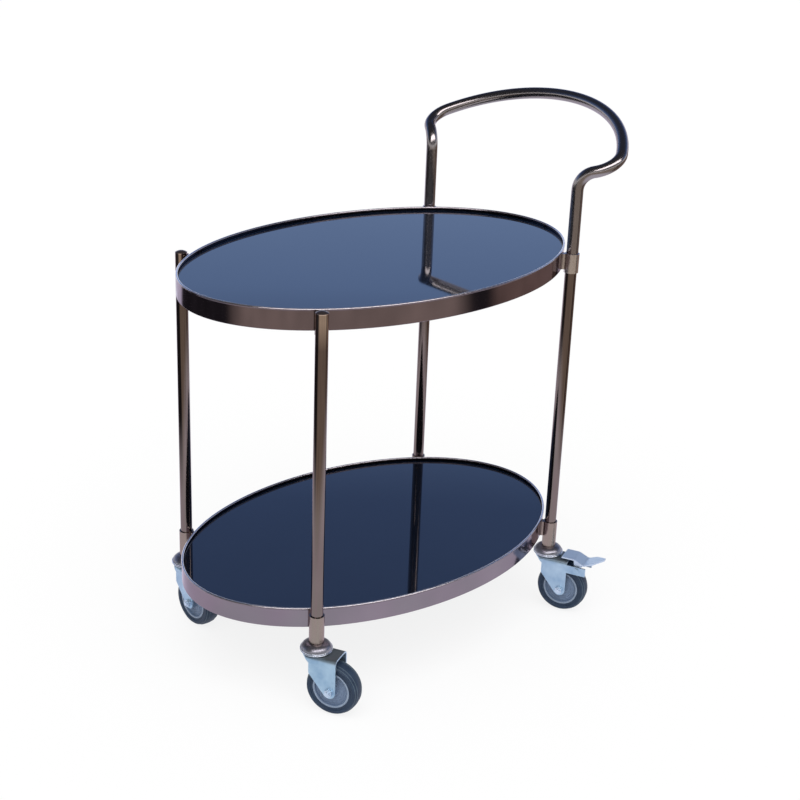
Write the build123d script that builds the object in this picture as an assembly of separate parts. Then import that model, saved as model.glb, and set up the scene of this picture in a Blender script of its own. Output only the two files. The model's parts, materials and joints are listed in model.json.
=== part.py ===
from build123d import *
from math import asin, atan2, cos, degrees, hypot, pi, radians, sin, sqrt, tan
import os

# Two-tier oval wine service cart on four swivel casters. Millimetres, +Z up, origin on the floor under
# the middle of the cart's bounding box. The handle is at the +X end, which is called the rear. Left and
# right are those of a person pushing the cart.

# Trays
TRAY_LENGTH = 800.0
TRAY_WIDTH = 523.0
TRAY_SPACING = 550.0
BAND_HEIGHT = 37.0
BAND_THICKNESS = 3.0
BAND_EDGE_ROUND = 0.8
LEDGE_WIDTH = 14.0
LEDGE_THICKNESS = 2.5
GLASS_RECESS = 7.0
GLASS_THICKNESS = 6.0
GLASS_EDGE_GAP = 0.5
GLASS_EDGE_ROUND = 0.8
PAD_DIAMETER = 8.0
PAD_THICKNESS = 1.0
PAD_COUNT = 8

# Tube frame. Leg angles are the ellipse parameter, counted from the long axis.
TUBE_DIAMETER = 22.0
TUBE_WALL = 1.5
FRONT_LEG_ANGLE = 45.3
REAR_LEG_ANGLE = 43.7
LEG_STANDOFF = 18.0
TUBE_FIT = 0.1
SLEEVE_WALL = 2.4
UPPER_SLEEVE_LENGTH = 36.0
UPPER_SLEEVE_DROP = 4.0
LOWER_SLEEVE_LENGTH = 52.5
LOWER_SLEEVE_DROP = 3.0
SADDLE_SETBACK = 8.0
FRONT_LEG_DROP = 1.5
LUG_WIDTH = 12.0
LUG_INSET = 2.0
WELD_GAP = 0.1
CAP_HEIGHT = 5.0
CAP_EDGE = 1.5
CAP_SPIGOT_LENGTH = 12.0
PLUG_LENGTH = 16.0

# Handle: a flat loop, tilted up and outwards, on top of the two rear legs
# The flare's slope is given as so much outwards for so much to the side.
HANDLE_RISE = 143.5
HANDLE_TILT = 25.8
HANDLE_FLARE_OUT = 40.5
HANDLE_FLARE_SIDE = 58.0
HANDLE_FLARE_STRAIGHT = 0.4
HANDLE_REACH = 201.9
HANDLE_LEG_BEND = 38.0
HANDLE_CORNER_BEND = 45.0

# Casters
WHEEL_DIAMETER = 100.0
WHEEL_WIDTH = 32.0
TREAD_DROP = 5.0
SIDEWALL_RECESS = 1.5
SIDEWALL_RIB_WIDTH = 4.5
SIDEWALL_BEVEL = 1.0
HUB_DIAMETER = 70.0
HUB_RIM_WIDTH = 3.5
HUB_DISH = 4.0
HUB_DISH_SLOPE = 1.5
BOSS_DIAMETER = 22.0
BOSS_FLARE = 1.5
MOULD_FIT = 0.05
TRAIL = 36.0
WHEEL_TOP_GAP = 12.0
WHEEL_SIDE_GAP = 4.5
BOSS_GAP = 0.3
FORK_SHEET = 3.0
FORK_BEND = 9.0
FORK_HEAD_RADIUS = 25.0
FORK_LIP = 5.0
FORK_FOOT_RADIUS = 12.0
FORK_LEG_BACK = 40.0
FORK_LEG_SHOULDER = 30.0
FORK_THROAT = 10.0
RUNNING_FIT = 0.05
FACE_GAP = 0.3
KING_PIN_DIAMETER = 12.0
KING_HEAD_DIAMETER = 22.0
KING_HEAD_HEIGHT = 4.0
KING_HEAD_BEVEL = 1.5
STUD_DIAMETER = 12.0
STUD_LENGTH = 14.0
DOME_RADIUS = 28.0
DOME_HEIGHT = 11.0
DOME_SEAT_RADIUS = 15.0
DOME_SHOULDER = 11.0
DOME_BULGE = 2.0
SKIRT_THICKNESS = 2.5
SKIRT_GAP = 1.5
BALL_DIAMETER = 5.0
BALL_CIRCLE_RADIUS = 18.0
BALL_COUNT = 16
AXLE_DIAMETER = 8.0
BUSH_DIAMETER = 14.0
HEX_ACROSS_FLATS = 13.0
HEX_HEIGHT = 5.5
AXLE_END = 3.0

# Toe brake on the rear casters
PIN_DIAMETER = 6.0
PIN_REACH = 32.0
PIN_DROP = 14.5
PIN_HEAD_DIAMETER = 9.0
PIN_HEAD_HEIGHT = 1.5
EAR_END = 18.0
EAR_ABOVE_PIN = 7.0
EAR_BELOW_PIN = 10.0
PEDAL_THICKNESS = 2.5
PEDAL_SIDE_GAP = 1.5
PEDAL_DOME_GAP = 7.0
PEDAL_LIFT = 3.75
PEDAL_KNEE_BACK = 8.0
PEDAL_DIP_AHEAD = 12.0
PEDAL_DIP = 8.75
PEDAL_TAPER_AHEAD = 29.0
PEDAL_TIP_AHEAD = 50.0
PEDAL_TIP_RISE = 15.0
PEDAL_TIP_WIDTH = 9.0
PEDAL_TIP_ROUND = 2.0
PEDAL_BEND = 8.0
CHEEK_THICKNESS = 3.5
CHEEK_AHEAD = 6.0
BARREL_WALL = 2.0
LOBE_WIDTH = 3.0
BRAKE_TRAVEL = 20.0
BRAKE_LOCK_GAP = 0.5

# How each caster is turned at rest: the heading of its wheel from its stem, counted from +X
CASTER_HEADINGS = {"front_left": -64.0, "front_right": -88.0, "rear_left": -66.0, "rear_right": 114.0}

# Heights, worked up from the floor
wheel_radius = WHEEL_DIAMETER / 2
crown_underside = WHEEL_DIAMETER + WHEEL_TOP_GAP
crown_top = crown_underside + FORK_SHEET
ball_centre = crown_top + RUNNING_FIT + BALL_DIAMETER / 2
race_height = ball_centre + BALL_DIAMETER / 2 + FACE_GAP
stem_seat = race_height + DOME_HEIGHT
lower_sleeve_top = stem_seat + LOWER_SLEEVE_LENGTH
lower_rim_top = lower_sleeve_top + LOWER_SLEEVE_DROP
upper_rim_top = lower_rim_top + TRAY_SPACING
front_leg_top = upper_rim_top - FRONT_LEG_DROP
upper_sleeve_top = upper_rim_top - UPPER_SLEEVE_DROP
upper_sleeve_bottom = upper_sleeve_top - UPPER_SLEEVE_LENGTH
handle_joint = (upper_sleeve_top + upper_sleeve_bottom) / 2

# Radii and widths that follow from the driving sizes
tube_radius = TUBE_DIAMETER / 2
tube_bore_radius = tube_radius - TUBE_WALL
sleeve_bore_radius = tube_radius + TUBE_FIT
sleeve_radius = sleeve_bore_radius + SLEEVE_WALL
fork_inside = WHEEL_WIDTH / 2 + WHEEL_SIDE_GAP
fork_outside = fork_inside + FORK_SHEET
king_radius = KING_PIN_DIAMETER / 2
axle_radius = AXLE_DIAMETER / 2
hub_radius = HUB_DIAMETER / 2


def ellipse_leg(angle, end, side):
    """Offset of a leg axis from the tray centre: on the rim's outward normal, clear of the rim."""
    long_half = TRAY_LENGTH / 2
    short_half = TRAY_WIDTH / 2
    on_rim = Vector(long_half * cos(radians(angle)), short_half * sin(radians(angle)))
    outward = Vector(short_half * cos(radians(angle)), long_half * sin(radians(angle))).normalized()
    leg = on_rim + outward * LEG_STANDOFF
    return Vector(end * leg.X, side * leg.Y), Vector(end * outward.X, side * outward.Y)


# The cart's box runs from the front end of the trays to the far side of the handle. Its middle is X = 0.
rear_leg_offset = ellipse_leg(REAR_LEG_ANGLE, 1, 1)[0]
handle_far_side = rear_leg_offset.X + HANDLE_REACH * cos(radians(HANDLE_TILT)) + tube_radius
tray_centre = Vector((TRAY_LENGTH / 2 - handle_far_side) / 2, 0)

CORNERS = {
    "front_left": (FRONT_LEG_ANGLE, -1, -1),
    "front_right": (FRONT_LEG_ANGLE, -1, 1),
    "rear_left": (REAR_LEG_ANGLE, 1, -1),
    "rear_right": (REAR_LEG_ANGLE, 1, 1),
}
FRONT_CORNERS = ("front_left", "front_right")
BRAKED_CORNERS = ("rear_left", "rear_right")


def leg_axis(corner):
    """Where a leg's axis meets the floor."""
    return tray_centre + ellipse_leg(*CORNERS[corner])[0]


def leg_outward(corner):
    """Direction from the rim to a leg, square to the rim."""
    return ellipse_leg(*CORNERS[corner])[1]


# Trays
def oval(inset):
    """The tray's outline, drawn in by an even inset."""
    return Ellipse(TRAY_LENGTH / 2 - inset, TRAY_WIDTH / 2 - inset)


def tray_slab(outline, bottom, height):
    """An upright solid on a tray outline."""
    return extrude(Pos(tray_centre.X, tray_centre.Y, bottom) * outline, height)


def glass_bottom(rim_top):
    return rim_top - GLASS_RECESS - GLASS_THICKNESS


def ledge_top(rim_top):
    return glass_bottom(rim_top) - PAD_THICKNESS


def make_rim(rim_top):
    """A flat oval band with a ledge inside it that carries the glass."""
    band = tray_slab(oval(0) - oval(BAND_THICKNESS), rim_top - BAND_HEIGHT, BAND_HEIGHT)
    ends = band.edges().group_by(Axis.Z)
    band = fillet(ends[0] + ends[-1], BAND_EDGE_ROUND)
    ledge_outline = oval(BAND_THICKNESS) - oval(BAND_THICKNESS + LEDGE_WIDTH)
    ledge = tray_slab(ledge_outline, ledge_top(rim_top) - LEDGE_THICKNESS, LEDGE_THICKNESS)
    return band + ledge


def make_glass(rim_top):
    """The glass sheet, a little smaller than the inside of the band."""
    sheet = tray_slab(oval(BAND_THICKNESS + GLASS_EDGE_GAP), glass_bottom(rim_top), GLASS_THICKNESS)
    ends = sheet.edges().group_by(Axis.Z)
    return fillet(ends[0] + ends[-1], GLASS_EDGE_ROUND)


def make_pads(rim_top):
    """Round pads spaced along the middle of the ledge, under the glass."""
    inset = BAND_THICKNESS + LEDGE_WIDTH / 2
    pads = []
    for index in range(PAD_COUNT):
        angle = 2 * pi * (index + 0.5) / PAD_COUNT
        place = Pos(
            tray_centre.X + (TRAY_LENGTH / 2 - inset) * cos(angle),
            tray_centre.Y + (TRAY_WIDTH / 2 - inset) * sin(angle),
            ledge_top(rim_top),
        )
        pads.append(extrude(place * Circle(PAD_DIAMETER / 2), PAD_THICKNESS))
    return pads


# Tube frame
def upright(axis, radius, bottom, top):
    """A round bar on a vertical axis."""
    return extrude(Pos(axis.X, axis.Y, bottom) * Circle(radius), top - bottom)


def pipe(axis, outer, inner, bottom, top):
    """A round tube on a vertical axis."""
    return upright(axis, outer, bottom, top) - upright(axis, inner, bottom, top)


def make_leg(corner):
    """A leg tube, from its caster plug up to its cap, or to the end of the handle tube."""
    top = front_leg_top if corner in FRONT_CORNERS else handle_joint
    return pipe(leg_axis(corner), tube_radius, tube_bore_radius, stem_seat + PLUG_LENGTH, top)


def make_sleeve(corner, rim_top, bottom, top):
    """A sleeve round a leg, with the lug that joins it to the rim."""
    axis = leg_axis(corner)
    inward = leg_outward(corner) * -1
    lug_bottom = max(bottom, rim_top - BAND_HEIGHT) + LUG_INSET
    lug_top = min(top, rim_top) - LUG_INSET
    lug_plane = Plane(origin=(axis.X, axis.Y, lug_bottom), x_dir=(inward.X, inward.Y, 0), z_dir=(0, 0, 1))
    lug_outline = Rectangle(LEG_STANDOFF, LUG_WIDTH, align=(Align.MIN, Align.CENTER))
    lug = extrude(lug_plane * lug_outline, lug_top - lug_bottom)
    lug = lug - tray_slab(oval(-WELD_GAP), lug_bottom, lug_top - lug_bottom)
    sleeve = upright(axis, sleeve_radius, bottom, top) + lug
    return sleeve - upright(axis, sleeve_bore_radius, bottom, top)


def make_upper_sleeve(corner):
    """The sleeve that joins a rear leg, the handle and the upper rim."""
    return make_sleeve(corner, upper_rim_top, upper_sleeve_bottom, upper_sleeve_top)


def make_saddle(corner):
    """The part of a sleeve that lies behind a front leg, so that the leg looks plain from outside."""
    inward = leg_outward(corner) * -1
    edge = leg_axis(corner) + inward * SADDLE_SETBACK
    foot = (edge.X, edge.Y, upper_sleeve_bottom)
    plane = Plane(origin=foot, x_dir=(inward.X, inward.Y, 0), z_dir=(0, 0, 1))
    behind = Rectangle(LEG_STANDOFF, 2 * sleeve_radius, align=(Align.MIN, Align.CENTER))
    return make_upper_sleeve(corner) & extrude(plane * behind, UPPER_SLEEVE_LENGTH)


def make_lower_sleeve(corner):
    return make_sleeve(corner, lower_rim_top, stem_seat, lower_sleeve_top)


def make_cap(corner):
    """A domed cap that stands on a front leg, with a spigot down inside the tube."""
    axis = leg_axis(corner)
    spigot = tube_bore_radius - TUBE_FIT
    outline = Polyline(
        (0, CAP_HEIGHT), (0, -CAP_SPIGOT_LENGTH), (spigot, -CAP_SPIGOT_LENGTH),
        (spigot, 0), (tube_radius, 0), (tube_radius, CAP_EDGE),
    )
    dome = TangentArc((0, CAP_HEIGHT), (tube_radius, CAP_EDGE), tangent=(1, 0))
    profile = make_face(outline + dome)
    return Pos(axis.X, axis.Y, front_leg_top) * revolve(Plane.XZ * profile, Axis.Z)


def make_plug(corner):
    """The plug in the foot of a lower sleeve that takes the caster's stud."""
    return pipe(
        leg_axis(corner), tube_radius, STUD_DIAMETER / 2 + RUNNING_FIT, stem_seat, stem_seat + PLUG_LENGTH
    )


def make_handle():
    """One bent tube: up from each rear sleeve, flared out to a corner, and round in a wide arch."""
    leg = leg_axis("rear_right")
    bend_height = upper_rim_top + HANDLE_RISE
    tilt = radians(HANDLE_TILT)
    loop_plane = Plane(origin=(leg.X, 0, bend_height), x_dir=(0, 1, 0), z_dir=(sin(tilt), 0, -cos(tilt)))
    flare = Vector(HANDLE_FLARE_SIDE, HANDLE_FLARE_OUT).normalized()
    inward = Vector(-flare.Y, flare.X)
    turn = pi / 2 - asin(flare.Y * sin(tilt))
    bend_length = HANDLE_LEG_BEND * tan(turn / 2)
    start = Vector(leg.Y, 0) + flare * bend_length
    corner_start = start + flare * HANDLE_FLARE_STRAIGHT

    # The arch's radius is the one at which it leaves both corner bends without a kink
    corner_centre = corner_start + inward * HANDLE_CORNER_BEND
    drop = HANDLE_REACH - corner_centre.Y
    arch_radius = corner_centre.X ** 2 + drop ** 2 - HANDLE_CORNER_BEND ** 2
    arch_radius = arch_radius / (2 * (drop - HANDLE_CORNER_BEND))
    arch_centre = Vector(0, HANDLE_REACH - arch_radius)
    arch_start = arch_centre + (corner_centre - arch_centre).normalized() * arch_radius

    far_start = Vector(-start.X, start.Y)
    far_corner_start = Vector(-corner_start.X, corner_start.Y)
    arch_end = Vector(-arch_start.X, arch_start.Y)
    loop = loop_plane * Wire([
        Line(start, corner_start),
        TangentArc(corner_start, arch_start, tangent=flare),
        ThreePointArc(arch_start, (0, HANDLE_REACH), arch_end),
        TangentArc(far_corner_start, arch_end, tangent=(-flare.X, flare.Y)),
        Line(far_corner_start, far_start),
    ])

    edges = list(loop.edges())
    for side, local in ((1, start), (-1, far_start)):
        foot = Vector(leg.X, side * leg.Y, handle_joint)
        bend_start = Vector(leg.X, side * leg.Y, bend_height - bend_length)
        bend_end = loop_plane.from_local_coords(local)
        edges.append(Line(foot, bend_start))
        edges.append(TangentArc(bend_start, bend_end, tangent=(0, 0, 1)))
    path = Wire(edges)
    foot_plane = Plane(origin=(leg.X, leg.Y, handle_joint), z_dir=(0, 0, 1))
    outside = sweep(foot_plane * Circle(tube_radius), path=path)
    inside = sweep(foot_plane * Circle(tube_bore_radius), path=path)
    return outside - inside


# Casters, in their own frame: stem axis on Z, floor at zero, wheel trailing along +X, axle along Y
def make_stem():
    """Stud, dished upper race and king pin, turned in one piece, with the king pin's riveted head."""
    stud = STUD_DIAMETER / 2
    shoulder = stem_seat - DOME_SHOULDER
    skirt_bottom = crown_top + SKIRT_GAP
    head_top = crown_underside - FACE_GAP
    head_bottom = head_top - KING_HEAD_HEIGHT
    head_radius = KING_HEAD_DIAMETER / 2
    dome_middle = (
        (DOME_SEAT_RADIUS + DOME_RADIUS) / 2 + DOME_BULGE,
        (stem_seat + shoulder) / 2 + DOME_BULGE,
    )
    above = Polyline(
        (0, stem_seat + STUD_LENGTH), (stud, stem_seat + STUD_LENGTH), (stud, stem_seat),
        (DOME_SEAT_RADIUS, stem_seat),
    )
    dome = ThreePointArc((DOME_SEAT_RADIUS, stem_seat), dome_middle, (DOME_RADIUS, shoulder))
    below = Polyline(
        (DOME_RADIUS, shoulder), (DOME_RADIUS, skirt_bottom),
        (DOME_RADIUS - SKIRT_THICKNESS, skirt_bottom), (DOME_RADIUS - SKIRT_THICKNESS, race_height),
        (king_radius, race_height), (king_radius, head_top), (head_radius, head_top),
        (head_radius, head_bottom + KING_HEAD_BEVEL), (head_radius - KING_HEAD_BEVEL, head_bottom),
        (0, head_bottom), (0, stem_seat + STUD_LENGTH),
    )
    return revolve(Plane.XZ * make_face(above + dome + below), Axis.Z)


def make_balls():
    """The ring of balls between the fork's crown and the upper race."""
    balls = []
    for index in range(BALL_COUNT):
        angle = 2 * pi * index / BALL_COUNT
        place = Pos(BALL_CIRCLE_RADIUS * cos(angle), BALL_CIRCLE_RADIUS * sin(angle), ball_centre)
        balls.append(place * Sphere(BALL_DIAMETER / 2))
    return balls


def tangent_below(point, centre, radius):
    """Where the line from a point touches the underside of a circle that lies ahead of it."""
    distance = hypot(centre[0] - point[0], centre[1] - point[1])
    heading = atan2(centre[1] - point[1], centre[0] - point[0]) - asin(radius / distance)
    length = sqrt(distance ** 2 - radius ** 2)
    return (point[0] + length * cos(heading), point[1] + length * sin(heading))


def upright_plate(outline, half_width):
    """A side outline in X and Z, made as wide as asked about the wheel's middle plane."""
    return extrude(Plane.XZ * outline, half_width, both=True)


def brake_pin_place():
    return (TRAIL + PIN_REACH, crown_top - PIN_DROP)


def fork_side_outline(braked):
    """The fork seen from the side: crown, leg tapering to a round foot, and ears for a brake."""
    axle = (TRAIL, wheel_radius)
    front = TRAIL + FORK_FOOT_RADIUS
    back = TRAIL - FORK_LEG_BACK
    shoulder = (back, wheel_radius + FORK_LEG_SHOULDER)
    foot = tangent_below(shoulder, axle, FORK_FOOT_RADIUS)
    lip = crown_top - FORK_LIP
    leg = Polygon(
        (front, axle[1]), (front, crown_top), (-FORK_HEAD_RADIUS, crown_top), (-FORK_HEAD_RADIUS, lip),
        (back - FORK_THROAT, lip), (back, lip - FORK_THROAT), shoulder, foot, axle,
        align=None,
    )
    outline = leg + Pos(*axle) * Circle(FORK_FOOT_RADIUS)
    if braked:
        pin = brake_pin_place()
        ear = Polygon(
            (TRAIL, pin[1] + EAR_ABOVE_PIN), (pin[0] + EAR_END, pin[1] + EAR_ABOVE_PIN),
            (pin[0] + EAR_END, pin[1] - EAR_BELOW_PIN), (front, pin[1] - EAR_BELOW_PIN),
            (TRAIL, wheel_radius), align=None,
        )
        outline = outline + ear
    return outline


def channel(half_width, top, bend, start, end):
    """A bar along X with its two upper edges rounded."""
    section = Rectangle(2 * half_width, top, align=(Align.CENTER, Align.MIN))
    section = fillet(section.vertices().group_by(Axis.Y)[-1], bend)
    return extrude(Plane.YZ.offset(start) * section, end - start)


def make_fork(braked):
    """A fork bent from sheet: crown over the wheel, two legs, and holes for king pin and axle."""
    front = TRAIL + FORK_FOOT_RADIUS
    end = brake_pin_place()[0] + EAR_END if braked else front
    outer = channel(fork_outside, crown_top, FORK_BEND, -FORK_HEAD_RADIUS, end)
    inner = channel(fork_inside, crown_underside, FORK_BEND - FORK_SHEET, -FORK_HEAD_RADIUS, end)
    sides = upright_plate(fork_side_outline(braked), fork_outside)
    head = Circle(FORK_HEAD_RADIUS) + Rectangle(end, 2 * fork_outside, align=(Align.MIN, Align.CENTER))
    fork = (outer - inner) & sides & extrude(head, crown_top)
    fork = fork - extrude(Circle(king_radius + RUNNING_FIT), crown_top)
    axle_hole = Pos(TRAIL, wheel_radius) * Circle(axle_radius + RUNNING_FIT)
    fork = fork - upright_plate(axle_hole, fork_outside)
    if braked:
        mouth = Rectangle(end - front, 2 * fork_inside, align=(Align.MIN, Align.CENTER))
        fork = fork - extrude(Pos(front, 0, 0) * mouth, crown_top)
        pin_hole = Pos(*brake_pin_place()) * Circle(PIN_DIAMETER / 2 + RUNNING_FIT)
        fork = fork - upright_plate(pin_hole, fork_outside)
    return fork


def turned_on_axle(profile):
    """A shape turned about the axle from a profile of radius and width."""
    return Pos(TRAIL, 0, wheel_radius) * revolve(profile, Axis.Y)


def mirrored_profile(points):
    """Points of one half of a profile, and the same points mirrored across the wheel's middle."""
    return points + [(radius, -width) for radius, width in reversed(points)]


def make_tyre():
    """A solid rubber tyre with a rounded tread, a raised rib and a recessed inner sidewall."""
    half = WHEEL_WIDTH / 2
    shoulder = wheel_radius - TREAD_DROP
    rib = shoulder - SIDEWALL_RIB_WIDTH
    recess = half - SIDEWALL_RECESS
    side = [(shoulder, half), (rib, half), (rib - SIDEWALL_BEVEL, recess), (hub_radius, recess)]
    sides = Polyline(*mirrored_profile(side))
    tread = ThreePointArc((shoulder, -half), (wheel_radius, 0), (shoulder, half))
    return turned_on_axle(make_face(sides + tread))


def make_hub():
    """The moulded wheel centre: boss, dished web and rim."""
    outer = hub_radius - MOULD_FIT
    rim_inside = outer - HUB_RIM_WIDTH
    rim_half = WHEEL_WIDTH / 2 - SIDEWALL_RECESS
    web_half = rim_half - HUB_DISH
    boss = BOSS_DIAMETER / 2
    boss_half = fork_inside - BOSS_GAP
    half = [
        (BUSH_DIAMETER / 2 + RUNNING_FIT, boss_half), (boss, boss_half),
        (boss + BOSS_FLARE, web_half + HUB_DISH_SLOPE), (rim_inside - BOSS_FLARE, web_half),
        (rim_inside, rim_half), (outer, rim_half),
    ]
    return turned_on_axle(make_face(Polyline(*mirrored_profile(half), close=True)))


def axle_bar(radius, start, end):
    """A round bar on the axle between two places along it."""
    plane = Plane(origin=(TRAIL, start, wheel_radius), z_dir=(0, 1, 0))
    return extrude(plane * Circle(radius), end - start)


def axle_hexagon(start):
    """A bolt head or nut on the axle, from its low side."""
    plane = Plane(origin=(TRAIL, start, wheel_radius), z_dir=(0, 1, 0))
    return extrude(plane * RegularPolygon(HEX_ACROSS_FLATS / 2, 6, major_radius=False), HEX_HEIGHT)


def make_bush():
    return axle_bar(BUSH_DIAMETER / 2, -fork_inside, fork_inside) - axle_bar(
        axle_radius + RUNNING_FIT, -fork_inside, fork_inside
    )


def make_axle_bolt():
    """The axle bolt: head on the far side of the fork, threaded end out through the nut."""
    shank = axle_bar(axle_radius, -fork_outside - HEX_HEIGHT - AXLE_END, fork_outside)
    return shank + axle_hexagon(fork_outside)


def make_axle_nut():
    start = -fork_outside - HEX_HEIGHT
    return axle_hexagon(start) - axle_bar(axle_radius + RUNNING_FIT, start, -fork_outside)


# Toe brake, in the caster's frame
def pin_bar(radius, half_length):
    """A round bar on the brake pin's axis, centred on the wheel's middle plane."""
    return upright_plate(Pos(*brake_pin_place()) * Circle(radius), half_length)


def make_brake_pin():
    """The pedal's hinge pin, with a head outside each ear."""
    heads = pin_bar(PIN_HEAD_DIAMETER / 2, fork_outside + PIN_HEAD_HEIGHT)
    heads = heads - pin_bar(PIN_HEAD_DIAMETER, fork_outside)
    return pin_bar(PIN_DIAMETER / 2, fork_outside + PIN_HEAD_HEIGHT) + heads


def brake_lobe_outline():
    """The lobe that reaches the tyre when the pedal is down, at rest turned back by the pedal's travel."""
    pin = brake_pin_place()
    to_axle = Vector(TRAIL - pin[0], wheel_radius - pin[1])
    reach = to_axle.length - wheel_radius - BRAKE_LOCK_GAP
    heading = degrees(atan2(to_axle.Y, to_axle.X)) + BRAKE_TRAVEL
    lobe = Rectangle(reach, LOBE_WIDTH, align=(Align.MIN, Align.CENTER))
    return Pos(*pin) * Rot(0, 0, heading) * lobe


def make_pedal():
    """A scooped foot plate on two cheeks and a barrel that turns on the pin."""
    pin = brake_pin_place()
    half = fork_inside - PEDAL_SIDE_GAP
    barrel = PIN_DIAMETER / 2 + BARREL_WALL
    plate_height = crown_top + PEDAL_LIFT + PEDAL_THICKNESS / 2
    start = (DOME_RADIUS + PEDAL_DOME_GAP, plate_height)
    knee = (pin[0] - PEDAL_KNEE_BACK, plate_height)
    dip = (pin[0] + PEDAL_DIP_AHEAD, plate_height - PEDAL_DIP)
    tip = (pin[0] + PEDAL_TIP_AHEAD, dip[1] + PEDAL_TIP_RISE)
    middle_line = FilletPolyline(start, knee, dip, tip, radius=PEDAL_BEND)
    plate = upright_plate(trace(middle_line, PEDAL_THICKNESS), half)
    tip_half = PEDAL_TIP_WIDTH / 2
    taper = pin[0] + PEDAL_TAPER_AHEAD
    plan = Polygon(
        (0, -half), (taper, -half), (tip[0], -tip_half), (tip[0], tip_half), (taper, half), (0, half),
        align=None,
    )
    plan = fillet(plan.vertices().group_by(Axis.X)[-1], PEDAL_TIP_ROUND)
    plate = plate & extrude(plan, stem_seat)
    slope = (knee[1] - dip[1]) / (dip[0] - knee[0])
    cheek_front = (pin[0] + CHEEK_AHEAD, knee[1] - slope * (pin[0] + CHEEK_AHEAD - knee[0]))
    cheek = Polygon(
        knee, cheek_front, (pin[0] + barrel, pin[1]), (pin[0] - barrel, pin[1]), align=None
    )
    cheeks = upright_plate(cheek, half) - upright_plate(cheek, half - CHEEK_THICKNESS)
    pedal = plate + cheeks + pin_bar(barrel, half) + upright_plate(brake_lobe_outline(), half)
    return pedal - pin_bar(PIN_DIAMETER / 2 + RUNNING_FIT, half)


def place_caster(corner, piece):
    """A caster piece, turned to its heading and put under its leg."""
    axis = leg_axis(corner)
    return Pos(axis.X, axis.Y, 0) * Rot(0, 0, CASTER_HEADINGS[corner]) * piece


# Every node by name
nodes = {
    "upper_rim": make_rim(upper_rim_top),
    "lower_rim": make_rim(lower_rim_top),
    "upper_glass": make_glass(upper_rim_top),
    "lower_glass": make_glass(lower_rim_top),
    "upper_glass_pads": Compound(make_pads(upper_rim_top)),
    "lower_glass_pads": Compound(make_pads(lower_rim_top)),
    "handle": make_handle(),
    "stem_plugs": Compound([make_plug(corner) for corner in CORNERS]),
}
for corner in CORNERS:
    nodes[f"{corner}_leg"] = make_leg(corner)
    nodes[f"{corner}_lower_sleeve"] = make_lower_sleeve(corner)
    if corner in FRONT_CORNERS:
        nodes[f"{corner}_saddle"] = make_saddle(corner)
        nodes[f"{corner}_cap"] = make_cap(corner)
    else:
        nodes[f"{corner}_upper_sleeve"] = make_upper_sleeve(corner)

for corner in CORNERS:
    caster = {
        "stem": make_stem(),
        "balls": Compound(make_balls()),
        "fork": make_fork(corner in BRAKED_CORNERS),
        "axle_bolt": make_axle_bolt(),
        "axle_nut": make_axle_nut(),
        "axle_bush": make_bush(),
        "hub": make_hub(),
        "tyre": make_tyre(),
    }
    if corner in BRAKED_CORNERS:
        caster["brake_pedal"] = make_pedal()
        caster["brake_pin"] = make_brake_pin()
    for name, piece in caster.items():
        nodes[f"{corner}_{name}"] = place_caster(corner, piece)

os.makedirs("parts", exist_ok=True)
for name, piece in nodes.items():
    export_step(piece, f"parts/{name}.step")

# Places that the record states
print("tray centre", round(tray_centre.X, 3))
print("rim tops", round(lower_rim_top, 3), round(upper_rim_top, 3))
for corner in CORNERS:
    axis = leg_axis(corner)
    print(corner, "axis", round(axis.X, 3), round(axis.Y, 3), "heading", CASTER_HEADINGS[corner])
print("axle", TRAIL, wheel_radius, "brake pin", brake_pin_place())
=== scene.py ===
import json
from math import atan2, cos, pi, radians, sin, sqrt

import bmesh
import bpy
from mathutils import Matrix, Vector


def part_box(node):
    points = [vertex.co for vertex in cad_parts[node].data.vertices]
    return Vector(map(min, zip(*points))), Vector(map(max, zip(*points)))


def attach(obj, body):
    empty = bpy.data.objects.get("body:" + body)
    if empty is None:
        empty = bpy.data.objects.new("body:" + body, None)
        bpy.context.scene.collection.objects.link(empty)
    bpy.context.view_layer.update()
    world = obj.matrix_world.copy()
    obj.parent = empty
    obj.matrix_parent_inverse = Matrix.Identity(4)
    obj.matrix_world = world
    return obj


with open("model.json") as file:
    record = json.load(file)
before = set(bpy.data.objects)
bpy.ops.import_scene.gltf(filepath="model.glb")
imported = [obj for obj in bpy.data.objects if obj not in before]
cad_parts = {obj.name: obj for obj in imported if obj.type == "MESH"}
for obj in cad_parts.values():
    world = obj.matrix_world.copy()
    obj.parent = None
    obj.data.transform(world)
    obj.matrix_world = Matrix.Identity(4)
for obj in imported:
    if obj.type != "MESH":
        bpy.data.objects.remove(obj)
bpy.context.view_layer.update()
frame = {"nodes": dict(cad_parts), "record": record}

record = frame["record"]
joints = {joint["name"]: joint for joint in record["behaviour"]["joints"]}

CORNERS = ("front_left", "front_right", "rear_left", "rear_right")

# Camera, solved from the photo's tray outlines and leg edges
CAMERA_PLACE = (-1.7809, -1.9970, 1.5345)
CAMERA_YAW = radians(42.01)
CAMERA_PITCH = radians(22.28)
CAMERA_ROLL = radians(2.22)
FOCAL_PIXELS = 1525.67
IMAGE_PIXELS = 800
SENSOR_WIDTH = 36.0
MATRIX_SIZE = 4
TOWARDS_CAMERA = atan2(CAMERA_PLACE[1], CAMERA_PLACE[0])

# Floor, world and lamp
FLOOR_RADIUS = 30.0
FLOOR_STEPS = 96
FLOOR_COLOUR = (0.93, 0.93, 0.93, 1.0)
FLOOR_GLOW = 0.84
WORLD_AMBIENT = 0.5
WHITE = (1.0, 1.0, 1.0, 1.0)
SUN_PLACE = (-1.4, -1.6, 4.0)
SUN_STRENGTH = 2.2
SUN_SPREAD = radians(70.0)

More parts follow.
